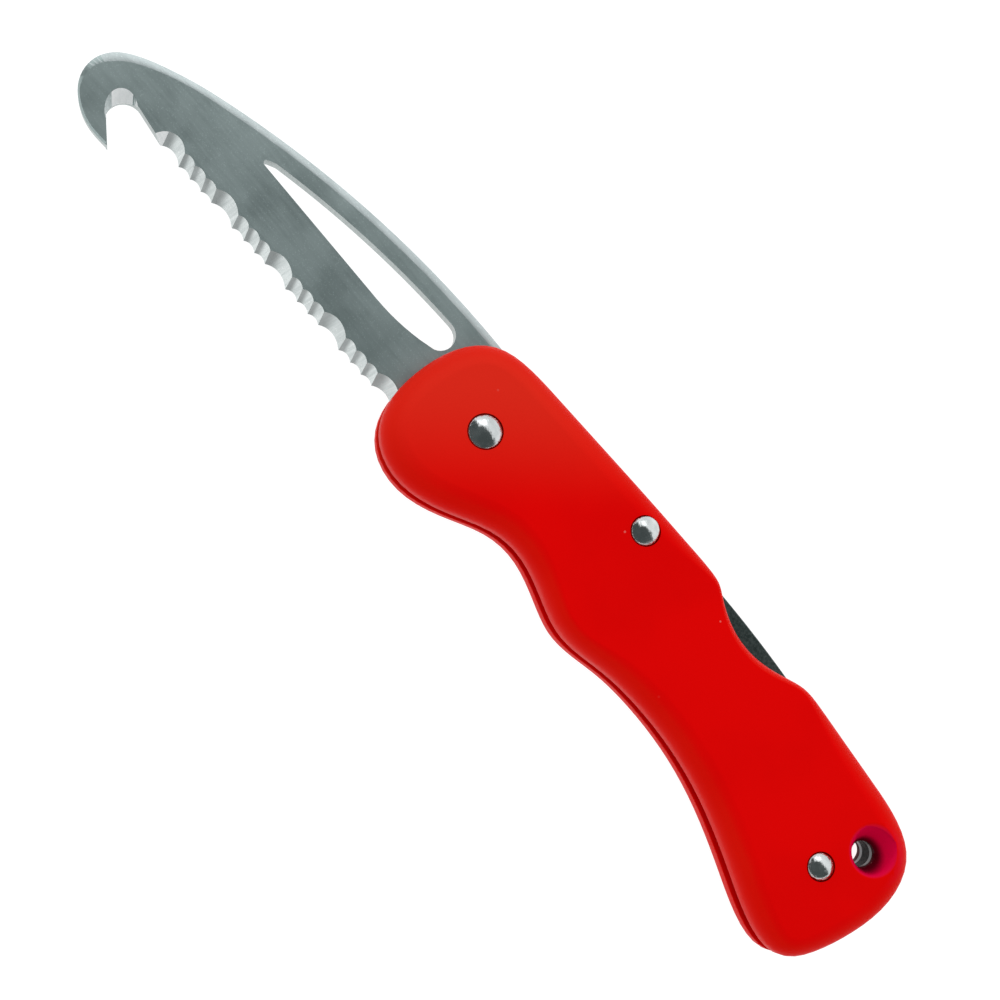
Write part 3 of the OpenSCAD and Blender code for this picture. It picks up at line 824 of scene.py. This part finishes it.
for node, way in (("scale_front", 1), ("scale_back", -1)):
    low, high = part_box(node)
    face_z, slot_z = (high.z, low.z) if way > 0 else (low.z, high.z)
    scale = solid_copy(node, "moulded_" + node, red_nylon)
    print(node, "slot edges", round_slot_edge(scale, slot_z))
    cut_funnel(scale, face_z, way)
    smooth(scale, 32)
    finish_piece(scale, "handle", "handle_red", node)

# %% [markdown]
# The blade is blanked from sheet, blasted, and then ground. Its faces keep the satin of the blasting,
# and each cut gets the brighter steel. The faces are told apart by how they lean: level ones are
# satin, upright ones are sheared walls, and leaning ones are ground, as bevels along the back and as
# scallops along the edge. What the wheel cut next to the hook is its gullet, and it is honed.

# %% The blade
BROKEN_EDGE = 0.05 * MM
BLADE_FINISHES = (satin_steel, ground_steel, bevel_steel, wall_steel, gullet_steel)
SATIN, SCALLOP, BEVEL, WALL, GULLET = range(len(BLADE_FINISHES))
LIES_FLAT, STANDS_UP, FACES_BACK = 0.995, 0.12, 0.05
# How far the hook and its gullet reach back from the blade's front end, and how high its foot is
HOOK_WIDTH, GULLET_END, HOOK_FOOT = 9.5 * MM, 17 * MM, 3 * MM
blade_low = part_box("blade")[0]


def blade_finish(face):
    """The number of the finish that a face of the blade gets."""
    normal, place = face.normal, face.center - blade_low
    if abs(normal.z) > LIES_FLAT:
        return SATIN
    if abs(normal.z) < STANDS_UP:
        return WALL
    if normal.y > FACES_BACK:
        return BEVEL
    if place.x < HOOK_WIDTH and normal.x < 0 or place.y < HOOK_FOOT:
        return SATIN
    return GULLET if place.x < GULLET_END else SCALLOP


blade = solid_copy("blade", "serrated_blade", satin_steel)
for finish in BLADE_FINISHES[1:]:
    blade.data.materials.append(finish)
round_corners(blade, "broken_edges", BROKEN_EDGE, 1)
weld(blade)
print("the blade has", open_edges(blade), "open edges")
for face in blade.data.polygons:
    face.material_index = blade_finish(face)
smooth(blade, 25)
finish_piece(blade, "blade", "blade_steel", "blade")

# %% [markdown]
# The lock bar is stamped from dark spring steel. Only its back shows, along the slot of the spine and
# in the scoop, where thumbs have rounded its corners. A bevel with three segments rounds them all.

# %% The lock bar
RUBBED_CORNER = 0.22 * MM
lock = solid_copy("lock_bar", "rocking_lock_bar", lock_steel)
round_corners(lock, "rubbed_corners", RUBBED_CORNER, 3)
smooth(lock, 30)
finish_piece(lock, "lock_bar", "lock_steel", "lock_bar")

# %% [markdown]
# The leaf spring is held in the spacer's tail and pushes the lock bar with its tip. When the bar is
# pressed, the leaf has to bend between the two. So it is cut into short lengths across.

# %% The leaf spring
LEAF_CUTS = 24
ROLLED_EDGE = 0.1 * MM
leaf = solid_copy("lock_spring", "bending_leaf_spring", spring_steel)
leaf_low, leaf_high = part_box("lock_spring")
edit(leaf)
for k in range(1, LEAF_CUTS):
    bpy.ops.mesh.select_all(action="SELECT")
    x = leaf_low.x + (leaf_high.x - leaf_low.x) * k / LEAF_CUTS
    bpy.ops.mesh.bisect(plane_co=(x, 0, 0), plane_no=(1, 0, 0))
bpy.ops.object.mode_set(mode="OBJECT")
round_corners(leaf, "rolled_edges", ROLLED_EDGE, 2)
smooth(leaf, 30)
deselect()
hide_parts("lock_spring")
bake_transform(leaf)

# %% [markdown]
# Each rivet is a shank with a domed head, and at the back its end is set into a domed cap. A dome is
# the top of a ball: a sphere is added, cut level at the rim, and the open ring is then drawn down for
# the rim, in to the shank and down the shank. A cap is the same turned over, with a blind hole. Bisect
# snaps points that lie within its threshold, which is a tenth of a millimetre unless it is set, and
# that would be too coarse for so small a head.

# %% Rivets and caps
RIM_HEIGHT = 0.8 * MM
CAP_BORE = 1.0 * MM
TURNED_RIM = 0.12 * MM
EXACT = 0.0001 * MM
SHANK_RADIUS = {"pivot": 1.75 * MM, "lock": 1.5 * MM, "butt": 1.3 * MM}
cap_low, cap_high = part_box("pivot_rivet_cap")
DOME_HEIGHT = cap_high.z - cap_low.z - RIM_HEIGHT


def ring_out(shift_z, scale=1.0, centre=None):
    """Extrudes the selected open ring, then moves it along Z or scales it about the centre."""
    bpy.ops.mesh.extrude_edges_move(TRANSFORM_OT_translate={"value": (0, 0, shift_z)})
    if scale != 1.0:
        bpy.ops.transform.resize(value=(scale, scale, 1), center_override=centre)


def domed_rivet(name, node, way, shank_r, bored):
    """A head whose dome points along way (1 up, -1 down), then its shank or its blind bore."""
    low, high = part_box(node)
    centre = (low + high) / 2
    head_r = (high.x - low.x) / 2
    crown, far_end = (high.z, low.z) if way > 0 else (low.z, high.z)
    ball_r = (head_r ** 2 + DOME_HEIGHT ** 2) / (2 * DOME_HEIGHT)
    ball_z = crown - way * ball_r
    rim_z = crown - way * DOME_HEIGHT
    foot_z = rim_z - way * RIM_HEIGHT
    deselect()
    bpy.ops.mesh.primitive_uv_sphere_add(segments=72, ring_count=96, radius=ball_r,
                                         location=(centre.x, centre.y, ball_z))
    piece = bpy.context.object
    piece.name = name
    piece.data.name = name
    bpy.ops.object.transform_apply(location=True, rotation=False, scale=False)
    piece.data.materials.append(polished)
    edit(piece, "EDGE")
    bpy.ops.mesh.select_all(action="SELECT")
    bpy.ops.mesh.bisect(plane_co=(centre.x, centre.y, rim_z), plane_no=(0, 0, way),
                        clear_inner=True, threshold=EXACT)
    pick(piece, edges=lambda a, b, turn: abs(a.z - rim_z) < EXACT and abs(b.z - rim_z) < EXACT)
    ring_out(-way * RIM_HEIGHT)
    ring_out(0, shank_r / head_r, (centre.x, centre.y, foot_z))
    ring_out(way * CAP_BORE if bored else far_end - foot_z)
    bpy.ops.mesh.edge_face_add()
    bpy.ops.mesh.select_all(action="SELECT")
    bpy.ops.mesh.normals_make_consistent(inside=False)
    bpy.ops.object.mode_set(mode="OBJECT")
    round_corners(piece, "turned_rim", TURNED_RIM, 3, sharper_than=30)
    weld(piece)
    smooth(piece, 40)
    print(name, "has", open_edges(piece), "open edges")
    finish_piece(piece, "handle", "rivet_steel", node)


for rivet, shank_r in SHANK_RADIUS.items():
    domed_rivet(rivet + "_rivet_polished", rivet + "_rivet", 1, shank_r, bored=False)
    domed_rivet(rivet + "_cap_polished", rivet + "_rivet_cap", -1, shank_r, bored=True)

# %% [markdown]
# What is left is right as the CAD made it: flat liners, the back spacer, bushes and washers. Their
# objects take their finishes as they are, and their meshes aren't touched.

# %% Finishes for the parts that stay
STAYING = {"liner_front": liner_finish, "liner_back": liner_finish, "back_spacer": black_nylon,
           "pivot_bush": bronze, "lock_bush": bronze, "pivot_washer_front": bronze,
           "pivot_washer_back": bronze}
for node, material in STAYING.items():
    slots = nodes[node].material_slots
    if not slots:
        nodes[node].data.materials.append(material)
    for one in nodes[node].material_slots:
        one.link = "OBJECT"
        one.material = material
    print(node, "finished in", material.name)

# %% [markdown]
# The size of the finished knife's visual box is printed, in millimetres.

# %% Sizes
low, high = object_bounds()
print("visual box in mm:", [round(v / MM, 2) for v in high - low])
